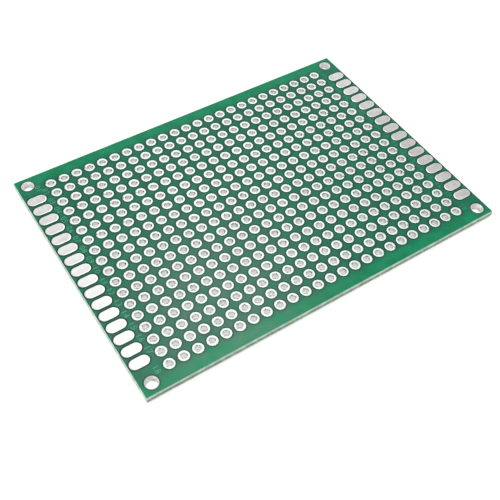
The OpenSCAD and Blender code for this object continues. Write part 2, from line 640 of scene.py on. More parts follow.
@dataclass(frozen=True)
class MaskFinish(Finish):
    """Semi-gloss green solder mask, a little mottled, with a fine orange-peel surface.

    Attributes:
        margin, field: colours over the margins, and among the lands. The margins' lighter
        green is painted light, carried by the laminate where no land blocks it.
        end_share: how much of the margins' colour the strips at the ends have.
        fade, fade_in: how far from the lands' outer edges the margins' colour is whole,
            and how far in from them it ends at the sides.
        pool: painted shade: how dark the film is against a land, an edge pad and a screw
            hole, where 1 is no darker.
            pool_start, pool_end: how far from them the shade begins to clear, and has cleared.
        mottle: how far the film's thickness lightens and darkens it.
        cloud, speck: size of the mottle's patches and of its grain.
        peel, flow: size of the orange peel and of the film's slower waves.
        peel_share: height of the peel, where the waves' height is 1.
        relief, depth: how much of the surface's relief shows, and its depth.
        roughness, gloss: range of its roughness, and the strength of its shine.
    """

    margin: Colour = (0.003, 0.228, 0.099)
    field: Colour = (0.009, 0.150, 0.083)
    end_share: float = 0.3
    fade: float = 1.2 * MM
    fade_in: float = 0.72 * MM
    pool: tuple[float, float, float] = (0.50, 0.20, 0.55)
    pool_start: float = 0.08 * MM
    pool_end: float = 0.42 * MM
    mottle: float = 0.10
    cloud: float = 2.2 * MM
    speck: float = 0.35 * MM
    peel: float = 0.16 * MM
    flow: float = 1.4 * MM
    peel_share: float = 0.25
    relief: float = 0.35
    depth: float = 0.02 * MM
    roughness: Span = (0.22, 0.33)
    gloss: float = 0.15

    def pooled(self, nodes: BoardNodes) -> Socket:
        """Painted shade: a factor that darkens the film round lands, edge pads and screw holes.

        It is the product of one factor for each kind: 1 less a ramp of the distance.

        Args:
            nodes: the material's nodes.

        Returns:
            The factor.
        """
        s = self.sizes
        half = s.pitch / 2
        grid = nodes.within(s.column_x[-1] + half, s.row_y[0] + half)
        columns = nodes.within(s.length, s.pad_y[0] + half)
        spans = ((nodes.from_hole(), s.land_r, grid),
                 (nodes.from_pad(), s.pad_width / 2, columns),
                 (nodes.from_screw(), s.screw_r + SCREW_MASK_GAP / 2, 1.0))
        factors = []
        for (distance, edge, there), dark in zip(spans, self.pool):
            start, end = edge + self.pool_start, edge + self.pool_end
            depth = nodes.ramp(distance, start, end, 1 - dark, 0.0)
            factors.append(nodes.math("SUBTRACT", 1.0, nodes.product(depth, there)))
        return nodes.product(*factors)

    def paint(self, nodes: BoardNodes) -> None:
        """Mixes the greens by distance from the grid as painted light, mottled, with painted shade.

        Args:
            nodes: the material's nodes.
        """
        s = self.sizes
        x, y = nodes.from_middle()
        end, edge = s.column_x[-1] + s.land_r, s.row_y[0] + s.land_r
        # Painted light: the margins, and in part the ends, get the lighter green
        ends = nodes.ramp(x, end, end + self.fade, 0.0, self.end_share)
        sides = nodes.ramp(y, edge - self.fade_in, edge + self.fade)
        colour = nodes.blend(nodes.math("MAXIMUM", ends, sides), self.field, self.margin)
        cloud = nodes.noise(self.cloud, 3.0)
        grain = nodes.noise(self.speck)
        # Mottle, and painted shade round the lands, the edge pads and the screw holes
        shade = nodes.product(
            nodes.ramp(cloud, *MIDDLE, 1 - self.mottle, 1 + self.mottle),
            nodes.ramp(grain, *MIDDLE, 1 - self.mottle / 2, 1 + self.mottle / 2),
            self.pooled(nodes))
        peel = nodes.product(nodes.noise(self.peel), self.peel_share)
        height = nodes.math("ADD", peel, nodes.noise(self.flow, 1.0))
        rough = nodes.ramp(cloud, *MOST, *self.roughness)
        nodes.surface(height, self.relief, self.depth, {
            "Base Color": nodes.shaded(colour, shade), "Roughness": rough,
            "Specular IOR Level": self.gloss})


@dataclass(frozen=True)
class TinFinish(Finish):
    """Hot-tinned copper: pale, a little cloudy and gently rippled.

    Attributes:
        bright, roughness: the metal's colour and roughness.
        uneven: what the clouds add to the roughness.
        stain, pit, flow: size of the clouds, of the pits and of the ripple.
        pitting: share of fine pits in the surface's relief.
        relief, depth: how much of the relief shows, and its depth.
        cloudy: how far clouds in the tin lighten and darken it.
    """

    bright: Colour
    roughness: float = 0.38
    uneven: Span = (-0.05, 0.07)
    stain: float = 0.9 * MM
    pit: float = 0.11 * MM
    flow: float = 0.7 * MM
    pitting: float = 0.02
    relief: float = 0.25
    depth: float = 0.02 * MM
    cloudy: float = 0.05

    def tone(self, nodes: BoardNodes) -> tuple[object, object]:
        """Colour and roughness of the clean metal: each kind of tin has its own."""
        raise NotImplementedError

    def paint(self, nodes: BoardNodes) -> None:
        """Clouds the metal's tone, roughens it with the clouds and ripples it.

        Args:
            nodes: the material's nodes.
        """
        tone, roughness = self.tone(nodes)
        stain = nodes.noise(self.stain, 3.0, 0.6)
        shade = nodes.ramp(stain, *MIDDLE, 1 - self.cloudy, 1 + self.cloudy)
        rough = nodes.math("ADD", roughness, nodes.ramp(stain, *MOST, *self.uneven))
        pits = nodes.product(nodes.noise(self.pit), self.pitting)
        height = nodes.math("ADD", nodes.noise(self.flow, 1.0), pits)
        nodes.surface(height, self.relief, self.depth, {
            "Base Color": nodes.shaded(tone, shade), "Metallic": 1.0, "Roughness": rough})


@dataclass(frozen=True)
class PadFinish(TinFinish):
    """Tin of the edge pads: a painted highlight along each pad's rim, lighter than the crown.

    Painted shade darkens the right end, most from its middle to its front corner.

    Attributes:
        rim: colour along a pad's rim, a painted highlight.
            rim_start, rim_end: how far in from a pad's edge the painted highlight begins and ends.
        dull, dull_y: painted shade: factor on the tone of the right end, in front and
            behind, and where along Y the one gives way to the other.
        worn, worn_x, worn_y: painted light and shade: what its front pads gain from their
            inner ends to their outer ones, half the length of that change, and where along Y it
            fades out.
    """

    rim: Colour = (0.63, 0.65, 0.64)
    rim_start: float = 0.26 * MM
    rim_end: float = 0.08 * MM
    dull: Span = (0.88, 1.04)
    dull_y: Span = (2 * MM, 15 * MM)
    worn: Span = (0.13, -0.02)
    worn_x: float = 1.2 * MM
    worn_y: Span = (-14 * MM, -7 * MM)

    def tone(self, nodes: BoardNodes) -> tuple[object, object]:
        """Colour by the distance from the pad's middle line, with painted rim highlight and shade.

        Args:
            nodes: the material's nodes.

        Returns:
            The colour and the roughness.
        """
        s = self.sizes
        x, y, _ = nodes.axes()
        # Painted light and shade at the right end: lighter inner ends of the front pads, a darker
        # front
        outward = nodes.ramp(x, s.pad_x - self.worn_x, s.pad_x + self.worn_x, *self.worn)
        front = nodes.ramp(y, *self.worn_y, 1.0, 0.0)
        right_end_shade = nodes.ramp(y, *self.dull_y, *self.dull)
        dull = nodes.math("ADD", right_end_shade, nodes.product(outward, front))
        right = nodes.ramp(x, -MM, MM)
        change = nodes.product(right, nodes.math("SUBTRACT", dull, 1.0))
        half = s.pad_width / 2
        # Painted highlight along each pad's rim
        rim = nodes.ramp(nodes.from_pad(), half - self.rim_start, half - self.rim_end)
        colour = nodes.blend(rim, self.bright, self.rim)
        return nodes.shaded(colour, nodes.math("ADD", 1.0, change)), self.roughness


@dataclass(frozen=True)
class Blot:
    """A spot that recurs at each lead hole, over part of the board.

    Attributes:
        x, y: its middle, from the hole's.
        core, reach: distances from its middle within which it is whole, and ends.
        strength_x, strength_y: where along X and along Y it begins and is whole, and
            its strength at both.
    """

    x: float
    y: float
    core: float
    reach: float
    strength_x: tuple[float, float, float, float]
    strength_y: tuple[float, float, float, float]

    def mark(self, nodes: BoardNodes) -> Socket:
        """Marks the point by the spot's strength.

        Args:
            nodes: the material's nodes.

        Returns:
            The strength, from 0 to 1.
        """
        x, y, _ = nodes.axes()
        spot = nodes.ramp(nodes.from_hole(self.x, self.y), self.core, self.reach, 1.0, 0.0)
        return nodes.product(spot, nodes.ramp(x, *self.strength_x), nodes.ramp(y, *self.strength_y))


@dataclass(frozen=True)
class EyeletFinish(TinFinish):
    """Tin of the eyelets: bright on the lands, painted shade at the bores' mouths, duller below.

    Attributes:
        mouth, flux: painted shade: colours of a barrel just below its mouth, and of dark
            specks there.
        barrel, barrel_roughness: colour of a barrel deeper down, painted light, and its roughness.
        bore_start, bore_end: how far out from the bore the barrel's look begins to
            give way to the land's, and has given way.
        stain_end, stain_start: depths at which the painted shade below the mouth ends and begins
            to.
        speck, speck_edge: size of the dark specks of painted shade, and the noise at which
        they begin and are whole.
        rinsed, rinsed_y: least share of the barrel's own colour, which lifts the painted shade at
        the mouth, in front and behind, and where along Y the one gives way to the other.
        nick, nicks: colour of the nicks at the rims of some lands, and their places.
        nicked, nicked_edge: size of the patches of the board that have nicks, and the
            noise at which they begin and are whole.
        soot, soots: colour of the painted shade on the barrels' walls, and its places.
    """

    mouth: Colour = (0.50, 0.49, 0.49)
    flux: Colour = (0.13, 0.12, 0.12)
    barrel: Colour = (0.90, 0.90, 0.88)
    barrel_roughness: float = 0.5
    bore_start: float = 0.05 * MM
    bore_end: float = 0.19 * MM
    stain_end: float = 0.36 * MM
    stain_start: float = 0.12 * MM
    speck: float = 0.5 * MM
    speck_edge: Span = (0.49, 0.60)
    rinsed: Span = (0.15, 0.5)
    rinsed_y: Span = (-8 * MM, 10 * MM)
    nicked: float = 2.6 * MM
    nicked_edge: Span = (0.44, 0.58)
    nick: Colour = (0.20, 0.18, 0.18)
    nicks: tuple[Blot, ...] = (
        Blot(-0.74 * MM, 0.36 * MM, 0.10 * MM, 0.30 * MM,
             (-26 * MM, -4 * MM, 1.0, 0.0), (0.0, 8 * MM, 0.0, 1.0)),
        Blot(0.64 * MM, -0.56 * MM, 0.10 * MM, 0.30 * MM,
             (3 * MM, 22 * MM, 0.0, 1.0), EVERYWHERE),
    )
    soot: Colour = (0.07, 0.06, 0.06)
    soots: tuple[Blot, ...] = (
        Blot(-0.36 * MM, 0.42 * MM, 0.14 * MM, 0.28 * MM,
             (3 * MM, 22 * MM, 0.0, 1.0), (-18 * MM, 20 * MM, 1.0, 0.7)),
        Blot(0.54 * MM, -0.12 * MM, 0.14 * MM, 0.28 * MM,
             (-26 * MM, 32 * MM, 1.0, 0.2), (-20 * MM, 0.0, 0.0, 1.0)),
    )

    def tone(self, nodes: BoardNodes) -> tuple[object, object]:
        """Colour and roughness by the distance from the bore and by the depth down it.

        Args:
            nodes: the material's nodes.

        Returns:
            The colour and the roughness.
        """
        s = self.sizes
        some = nodes.ramp(nodes.noise(self.nicked, 1.0), *self.nicked_edge)
        land = self.bright
        for nick in self.nicks:
            land = nodes.blend(nodes.product(nick.mark(nodes), some), land, self.nick)
        # Painted shade: dark specks at random just below the mouth
        specks = nodes.ramp(nodes.noise(self.speck, 1.0), *self.speck_edge)
        mouth = nodes.blend(specks, self.mouth, self.flux)
        # Painted shade just below each bore's mouth, and painted light deeper down the barrel
        half = (s.top - s.bottom) / 2
        deep = nodes.ramp(nodes.from_plane((s.bottom + s.top) / 2), half - self.stain_end,
                          half - self.stain_start, 1.0, 0.0)
        rinsed = nodes.ramp(nodes.axes()[1], *self.rinsed_y, *self.rinsed)
        barrel = nodes.blend(nodes.math("MAXIMUM", deep, rinsed), mouth, self.barrel)
        # Painted shade on the barrels' walls, on one side, over part of the board
        for soot in self.soots:
            barrel = nodes.blend(soot.mark(nodes), barrel, self.soot)
        inside = nodes.ramp(nodes.from_hole(), s.hole_r + self.bore_start,
                            s.hole_r + self.bore_end, 1.0, 0.0)
        rough = nodes.ramp(inside, 0.0, 1.0, self.roughness, self.barrel_roughness)
        return nodes.blend(inside, land, barrel), rough


@dataclass(frozen=True)
class LaminateFinish(Finish):
    """Raw glass-epoxy: sawn scores, a snapped web between them and faces dark with painted shade.

    Attributes:
        web_half: half the thickness of the web.
        score: colour of the scores' smooth walls.
        web, web_light: colour of the snapped web, and of its torn glass.
        face: colour of the little of each face that the mask leaves bare, dark as painted shade.
        drilled, rim: colours of a screw hole's wall, and of the bare ring round it.
        glass: the plies' noise at which the torn glass begins and is whole.
        web_end, end_share: paler colour of the web at the short ends, painted light, and how
        much of it shows.
        end_depth: how far in from them it begins, and is strongest.
        skin: how far below a face its colour begins, and is whole.
        ring: how far past a screw hole its wall's colour begins to fade, and has faded.
        ply, tuft, cloud: size of the torn plies, of the tufts of glass and of clouds.
        flat: how much lower than long the plies are.
        stray: how far the web's edge strays, and half the width of its border.
        tuft_share: height of the tufts, where the plies' height is 1.
        clouds, cloud_edge: factors of the darkest and the lightest clouds, and the noise
            at which they are whole.
        relief, depth: how much of the relief shows, and its depth.
        roughness: range of the laminate's roughness.
    """

    web_half: float
    score: Colour = (0.51, 0.70, 0.57)
    web: Colour = (0.19, 0.21, 0.15)
    web_light: Colour = (0.36, 0.41, 0.31)
    face: Colour = (0.015, 0.045, 0.025)
    drilled: Colour = (0.92, 0.91, 0.885)
    rim: Colour = (0.70, 0.71, 0.68)
    glass: Span = (0.42, 0.62)
    web_end: Colour = (0.84, 0.83, 0.84)
    end_share: float = 0.75
    end_depth: Span = (0.15 * MM, 0.10 * MM)
    skin: Span = (0.03 * MM, 0.01 * MM)
    ring: Span = (0.06 * MM, 0.13 * MM)
    ply: float = 0.55 * MM
    tuft: float = 0.12 * MM
    cloud: float = 1.1 * MM
    flat: float = 6.0
    clouds: Span = (0.84, 1.16)
    cloud_edge: Span = (0.33, 0.67)
    stray: Span = (0.04 * MM, 0.03 * MM)
    tuft_share: float = 0.6
    relief: float = 0.5
    depth: float = 0.05 * MM
    roughness: Span = (0.54, 0.74)

    def torn(self, nodes: BoardNodes, plies: Socket) -> Socket:
        """Colour of the snapped web, with painted light along the short ends.

        Args:
            nodes, plies: the material's nodes, and noise that runs in plies.

        Returns:
            The colour.
        """
        colour = nodes.blend(nodes.ramp(plies, *self.glass), self.web, self.web_light)
        # Painted light along the short ends
        limits = (self.sizes.length / 2 - depth for depth in self.end_depth)
        end = nodes.ramp(nodes.from_middle()[0], *limits, 0.0, self.end_share)
        return nodes.blend(end, colour, self.web_end)

    def paint(self, nodes: BoardNodes) -> None:
        """Colours the web, the scores, the faces and the holes by the place's depth.

        Args:
            nodes: the material's nodes.
        """
        s = self.sizes
        depth = nodes.from_plane((s.core_bottom + s.core_top) / 2)
        half = (s.core_top - s.core_bottom) / 2
        weave = nodes.add("Mapping", {"Vector": nodes.where, "Scale": (1.0, 1.0, self.flat)})
        plies = nodes.noise(self.ply, 3.0, 0.6, weave.outputs[0])
        tufts = nodes.noise(self.tuft, 3.0, 0.7)
        stray, border = self.stray
        edge = nodes.math("ADD", depth, nodes.ramp(tufts, *ALL, -stray, stray))
        scored = nodes.ramp(edge, self.web_half - border, self.web_half + border)
        side = nodes.blend(scored, self.torn(nodes, plies), self.score)
        bare = nodes.ramp(depth, *(half - below for below in self.skin))
        # Painted shade: the faces bare in the mask's narrow gaps are dark
        colour = nodes.blend(bare, side, self.face)
        rings = (s.screw_r + past for past in self.ring)
        holes = nodes.ramp(nodes.from_screw(), *rings, 1.0, 0.0)
        colour = nodes.blend(holes, colour, nodes.blend(bare, self.drilled, self.rim))
        shade = nodes.ramp(nodes.noise(self.cloud, 3.0), *self.cloud_edge, *self.clouds)
        height = nodes.math("ADD", plies, nodes.product(tufts, self.tuft_share))
        rough = nodes.ramp(tufts, *ALL, *self.roughness)
        nodes.surface(height, self.relief, self.depth, {
            "Base Color": nodes.shaded(colour, shade), "Roughness": rough})


# ---- The board's pieces ----


@dataclass
class Piece:
    """One piece of the board.

    Attributes:
        sizes: the board's sizes.
        slot: name of the material slot that it stands for.
    """

    sizes: BoardSizes
    slot: ClassVar[str] = "tinned_metal"

    def names(self) -> tuple[str, str]:
        """The piece's name, and that of the node that it replaces, if any."""
        raise NotImplementedError

    def mesh(self) -> Shell:
        """Its points, of shape (n, 3), and its faces, as arrays of point numbers."""
        raise NotImplementedError

    def build(self, material: Material) -> bpy.types.Object:
        """Makes the piece, shaded smooth but for its sharper edges.

        Args:
            material: its finish.

        Returns:
            The new object.
        """
        name, node = self.names()
        points, faces = self.mesh()
        data = bpy.data.meshes.new(name)
        data.from_pydata(points.tolist(), [], sum((f.tolist() for f in faces), []))
        data.polygons.foreach_set("use_smooth", np.ones(len(data.polygons), bool))
        data.set_sharp_from_angle(angle=CREASE)
        data.materials.append(material)
        data.validate()
        data.update()
        piece = put(name, data)
        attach(piece, BODY)
        if node:
            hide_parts(node)
        log.info("%s: %d points, %d faces", name, len(data.vertices), len(data.polygons))
        return piece


@dataclass
class Laminate(Piece):
    """Glass-epoxy plate, drilled, scored all round on both faces and snapped.

    Attributes:
        web: thickness of the snapped web between the scores.
        splits: steps of the web along each step of the face.
        plies: rows of points across the web.
        tear: depth of the web's torn surface.
        limits: the most that a point of it is torn inwards and outwards.
        ply_share: what a whole ply is torn, where a point is torn 1.
        edge_share: what the web's two edges are torn, where the rest is torn 1.
        seed: start of its random draws.
    """

    slot = "laminate"
    web: float = 0.5 * MM
    splits: int = 5
    plies: int = 6
    tear: float = 0.022 * MM
    limits: Span = (-0.07 * MM, 0.03 * MM)
    ply_share: float = 0.7
    edge_share: float = 0.35
    seed: int = 7

    def names(self) -> tuple[str, str]:
        """The piece's name, and that of the node that it replaces."""
        return "laminate", "laminate_core"

    def rim_loop(self, points: Array, edges: Array) -> Array:
        """Finds the outermost points of the sheet, and puts them in order.

        A point's place along the rim runs from 0 to 8, anticlockwise from the lowest
        corner, with 2 for each side, and is worked out from its shares of the half sizes.

        Args:
            points, edges: the sheet's points, (n, 2), and its open edges.

        Returns:
            Their numbers, anticlockwise.
        """
        half = np.array([self.sizes.face_length, self.sizes.face_width]) / 2
        numbers = np.unique(edges)
        share = points[numbers] / half
        numbers, share = (a[np.abs(share).max(1) > 1 - NEAR] for a in (numbers, share))
        x, y = share.T
        sides = [y < NEAR - 1, x > 1 - NEAR, y > 1 - NEAR]
        place = np.select(sides, [x + 1, y + 3, 5 - x], 7 - y)
        return numbers[np.argsort(np.where(place >= 8 - NEAR, 0.0, place))]

    def web_rings(self, loop: Array) -> Array:
        """Rings of the torn web, from its upper edge down.

        The face's outline, in finer steps, is stretched to the board's own size. Each
        ring is pushed along the outline's normal by noise that runs in plies, and the
        two outer rings only a little.

        Args:
            loop: the face's outline, of shape (n, 2).

        Returns:
            Points of shape (plies, n * splits, 3).
        """
        s = self.sizes
        t = np.arange(self.splits)[None, :, None] / self.splits
        fine = (loop[:, None] * (1 - t) + np.roll(loop, -1, 0)[:, None] * t).reshape(-1, 2)
        fine = fine * np.array([s.length / s.face_length, s.width / s.face_width])
        share = fine / (np.array([s.length, s.width]) / 2)
        normal = np.where(np.abs(share) > 1 - NEAR, np.sign(share), 0.0)
        normal /= np.linalg.norm(normal, axis=1)[:, None]
        rng = np.random.default_rng(self.seed)
        rough = rng.normal(size=(self.plies, len(fine)))
        rough = (rough + np.roll(rough, 1, 1) + 0.5 * np.roll(rough, 2, 1)) / 1.5
        ply = rng.normal(size=(self.plies, 1)) + np.repeat(
            rng.normal(size=(self.plies, len(loop))), self.splits, 1)
        push = np.clip((rough + self.ply_share * ply) * self.tear, *self.limits)
        push[[0, -1]] *= self.edge_share
        middle = (s.core_bottom + s.core_top) / 2
        z = np.linspace(middle + self.web / 2, middle - self.web / 2, self.plies)
        plan = fine[None] + push[:, :, None] * normal[None]
        return np.concatenate([plan, np.broadcast_to(z[:, None, None], push.shape + (1,))], 2)

    def score_faces(self, loop: Array, fine: Array, down: bool) -> list[Array]:
        """Faces of one score's wall, from a face's outline to the web's finer edge.

        Each step of the outline fans out to the finer steps below it: half of them
        from its first point, half from its last, with a quad between.

        Args:
            loop, fine: point numbers of the outline, (n,), and of the edge, (n * splits,).
            down: True for the wall of the lower face, which is wound the other way.

        Returns:
            Arrays of point numbers.
        """
        after = np.roll(loop, -1)
        fine = fine.reshape(-1, self.splits)
        stops = np.concatenate([fine, np.roll(fine, -1, 0)[:, :1]], 1)
        half = self.splits // 2
        faces = []
        for j in range(self.splits):
            tips = [loop, after] if j == half else [loop if j < half else after]
            face = np.stack([tips[0], stops[:, j], stops[:, j + 1], *tips[1:]], 1)
            faces.append(face[:, ::-1] if down else face)
        return faces

    def mesh(self) -> Shell:
        """Makes two drilled faces, the walls of the holes, and the scored rim.

        Returns:
            The piece's points and faces.
        """
        s = self.sizes
        plan, quads = FacePlan(s).sheet(Openings(s.hole_r + PLATING, s.screw_r))
        edges = open_edges(quads)
        loop = self.rim_loop(plan, edges)
        walls = edges[~np.isin(edges, loop).all(1)]
        points, faces = slab(plan, quads, walls, s.core_top, s.core_bottom)
        rings = self.web_rings(plan[loop])
        number = len(points) + np.arange(rings.size // 3).reshape(rings.shape[:2])
        faces.append(np.roll(bands(number[1:], number[:-1]), 1, 1))
        faces += self.score_faces(loop, number[0], down=False)
        faces += self.score_faces(loop + len(plan), number[-1], down=True)
        return np.concatenate([points, rings.reshape(-1, 3)]), faces


@dataclass
class MaskFilm(Piece):
    """Film of solder mask on one face, open round each land, edge pad and screw hole.

    Attributes:
        face: the face that it covers.
    """

    slot = "solder_mask"
    face: Face

    def names(self) -> tuple[str, str]:
        """The piece's name, and that of the node that it replaces."""
        return f"{self.face.name.lower()}_mask", f"{self.face.word}_solder_mask"

    def mesh(self) -> Shell:
        """Makes two sheets a film's thickness apart, walled at each opening.

        Returns:
            The piece's points and faces.
        """
        s = self.sizes
        openings = Openings(
            hole_r=s.land_r + MASK_GAP, screw_r=s.screw_r + SCREW_MASK_GAP,
            slot_bar=s.pad_length - s.pad_width, slot_r=s.pad_width / 2 + MASK_GAP)
        plan, quads = FacePlan(s).sheet(openings)
        upper = self.face is Face.UPPER
        levels = (s.film_top, s.core_top) if upper else (s.core_bottom, s.film_bottom)
        return slab(plan, quads, open_edges(quads), *levels)


@dataclass
class EyeletRow(Piece):
    """One row of eyelets, each a plated barrel with a domed land on both faces.

    Attributes:
        row: the row's number, from 0.
        sides: sides of an eyelet's circle.
        mouth: how far the tin is drawn down at a bore's mouth.
        foot: height of a land's outer edge over the laminate.
        crown, sink: how far in from its edge a land is level with the pads, and how far
            it lies below them on average.
        lean, lobes, stray: ranges of the land's lean, of its two lobes' height, and of
            its outline's straying.
        notch, notch_limit: spread of the notches' depth, and the deepest.
        notch_at, notch_width: range of their angles, and half their width, in radians.
        seed: start of row 0's random draws.
    """

    row: int
    sides: int = 12
    mouth: float = 0.045 * MM
    foot: float = 0.045 * MM
    crown: float = 0.08 * MM
    sink: float = 0.008 * MM
    lean: Span = (0.001 * MM, 0.009 * MM)
    lobes: Span = (0.0, 0.006 * MM)
    stray: Span = (0.0, 0.014 * MM)
    notch: float = 0.03 * MM
    notch_limit: float = 0.07 * MM
    notch_at: Span = (2.2, 3.9)
    notch_width: float = 0.35
    seed: int = 100

    def names(self) -> tuple[str, str]:
        """The piece's name, and that of the node that it replaces."""
        node = row_nodes()[self.row]
        return node.replace("eyelets", "tinned_eyelets"), node

    def section(self) -> tuple[Array, Array, Array]:
        """Closed half section, anticlockwise from the foot of the barrel.

        Returns:
            Radius and height of each point, and the share of the land's unevenness
            that moves it, signed by its face.
        """
        s = self.sizes
        half = (s.top - s.bottom) / 2
        core = (s.core_top - s.core_bottom) / 2
        radius = np.array([s.hole_r + PLATING, s.land_r, s.land_r - self.crown, s.hole_r])
        height = np.array([core, core + self.foot, half, half - self.mouth])
        share = np.array([0.0, 0.3, 1.0, 0.4])
        middle = (s.top + s.bottom) / 2
        return (
            np.concatenate([radius, radius[::-1]]),
            np.concatenate([height, -height[::-1]]) + middle,
            np.concatenate([share, -share[::-1]]),
        )

    def mesh(self) -> Shell:
        """Makes the row: the section turned about each hole, with the tin a little uneven.

        The radii are drawn out so that the sides cross the true circles, half in and
        half out: by the root of one over the cosine of half a side's angle.
        On each eyelet the land's height leans to one side and swells in two lobes. Its
        outline strays a little from a circle, and some have a notch on the left: the
        radius less a bell about the notch's angle. The amounts are drawn once a row.

        Returns:
            The piece's points and faces.
        """
        s = self.sizes
        radius, height, share = self.section()
        count, rings = len(s.column_x), len(radius)
        rng = np.random.default_rng(self.seed + self.row)
        turn = np.arange(self.sides) * 2 * math.pi / self.sides
        phase = rng.uniform(0, 2 * math.pi, (count, 3, 1))
        lean, lobes, stray = (
            rng.uniform(*limits, (count, 1)) for limits in (self.lean, self.lobes, self.stray))
        wave = lean * np.cos(turn + phase[:, 0]) + lobes * np.cos(2 * turn + phase[:, 1])
        notch = np.clip(rng.normal(0.0, self.notch, (count, 1)), 0.0, self.notch_limit)
        bearing = rng.uniform(*self.notch_at, (count, 1))
        outline = stray * np.cos(3 * turn + phase[:, 2])
        outline = outline - notch * np.exp(-(((turn - bearing) / self.notch_width) ** 2))
        rim = np.isclose(radius, s.land_r)
        fair = math.sqrt(1 / math.cos(math.pi / self.sides))
        r = fair * radius[None, :, None] + rim[None, :, None] * outline[:, None, :]
        x = s.column_x[:, None, None] + r * np.cos(turn)
        y = s.row_y[self.row] + r * np.sin(turn)
        z = height[None, :, None] + share[None, :, None] * (wave - self.sink)[:, None, :]
        points = np.stack([x, y, np.broadcast_to(z, x.shape)], -1).reshape(-1, 3)
        number = np.arange(x.size).reshape(count, rings, self.sides)
        return points, [bands(number, np.roll(number, -1, 1))]


@dataclass
class EdgePads(Piece):
    """The long pads of one end on one face, each a low pillow of tin.

    Attributes:
        end, face: the board's end and face.
        arc: steps of a quarter of a pad's round outline.
        bar: steps of its straight side.
        insets: how far in from the outline each ring of points lies, foot first.
        wall: height of the second ring, where the pad's thickness is 1.
        hollow: how much lower than its rim the crown is.
        sink, rise: how far the crowns lie below the pads' plane on average, and the most
            that one stands over it.
        slope: spread of the crowns' slopes.
        swell, swell_length: range of the height of their waves, and the waves' length
            along the pad, over two pi.
        seed, seed_step: start of the random draws, and what the end moves it by.
    """

    end: End
    face: Face
    arc: int = 5
    bar: int = 4
    insets: tuple[float, ...] = (0.0, 0.0, 0.07 * MM, 0.22 * MM)
    wall: float = 0.6
    hollow: float = 0.006 * MM
    sink: float = 0.008 * MM
    rise: float = 0.004 * MM
    slope: float = 0.0022
    swell: Span = (0.0, 0.010 * MM)
    swell_length: float = 0.8 * MM
    seed: int = 40
    seed_step: int = 3

    def names(self) -> tuple[str, str]:
        """The piece's name, and that of the node that it replaces."""
        side = self.end.name.lower()
        return f"{side}_{self.face.name.lower()}_pads", f"{side}_edge_pads_{self.face.word}"

    def mesh(self) -> Shell:
        """Makes the pads: rings from foot to crown, closed over by rungs across the pad.

        The crown is a little lower inside its rim, and each pad's crown leans and
        swells by amounts drawn once an end and face.

        Returns:
            The piece's points and faces.
        """
        s = self.sizes
        thickness = s.top - s.core_top
        heights = np.array([0.0, self.wall * thickness, thickness, thickness - self.hollow])
        half_turn = [(180, 270, -1, -1, self.arc), (270, 270, -1, 1, self.bar),
                     (270, 360, 1, 1, self.arc)]
        rings = np.stack([
            slot_outline(s.pad_length - s.pad_width, s.pad_width / 2 - inset, half_turn)
            for inset in self.insets])
        seed = self.seed + self.seed_step * self.end.value + self.face.value
        rng = np.random.default_rng(seed)
        count = len(s.pad_y)
        lean = rng.normal(0, self.slope, (count, 1, 1, 2))
        swell = rng.uniform(*self.swell, (count, 1, 1))
        phase = rng.uniform(0, 2 * math.pi, (count, 1, 1))
        share = np.array([0.0, 0.2, 1.0, 1.0])[None, :, None]
        wave = (rings[None] * lean).sum(-1)
        wave = wave + swell * np.cos(rings[None, :, :, 0] / self.swell_length + phase)
        z = heights[None, :, None] + share * (wave - self.sink)
        z = np.minimum(z, thickness + self.rise)
        x = self.end.value * s.pad_x + np.broadcast_to(rings[None, :, :, 0], z.shape)
        y = s.pad_y[:, None, None] + rings[None, :, :, 1]
        level = s.core_top if self.face is Face.UPPER else s.core_bottom
        points = np.stack([x, y, level + self.face.value * z], -1).reshape(-1, 3)
        number = np.arange(z.size).reshape(z.shape)
        seat = [f[:, ::-1] for f in self.rungs(number[:, 0])]
        faces = [bands(number[:, :-1], number[:, 1:]), *self.rungs(number[:, -1]), *seat]
        return points, [f[:, :: self.face.value] for f in faces]

    @staticmethod
    def rungs(rings: Array) -> tuple[Array, Array]:
        """Faces across closed outlines that are the same on both sides of their first point.

        Args:
            rings: point numbers, of shape (outlines, points).

        Returns:
            Quads between each point and its mirror point, and the two tips' triangles.
        """
        around = rings.shape[1]
        half = around // 2
        j = np.arange(1, half - 1)
        corners = [rings[:, j], rings[:, j + 1], rings[:, around - j - 1], rings[:, around - j]]
        tips = np.concatenate([rings[:, [0, 1, around - 1]], rings[:, [half - 1, half, half + 1]]])
        return np.stack(corners, -1).reshape(-1, 4), tips


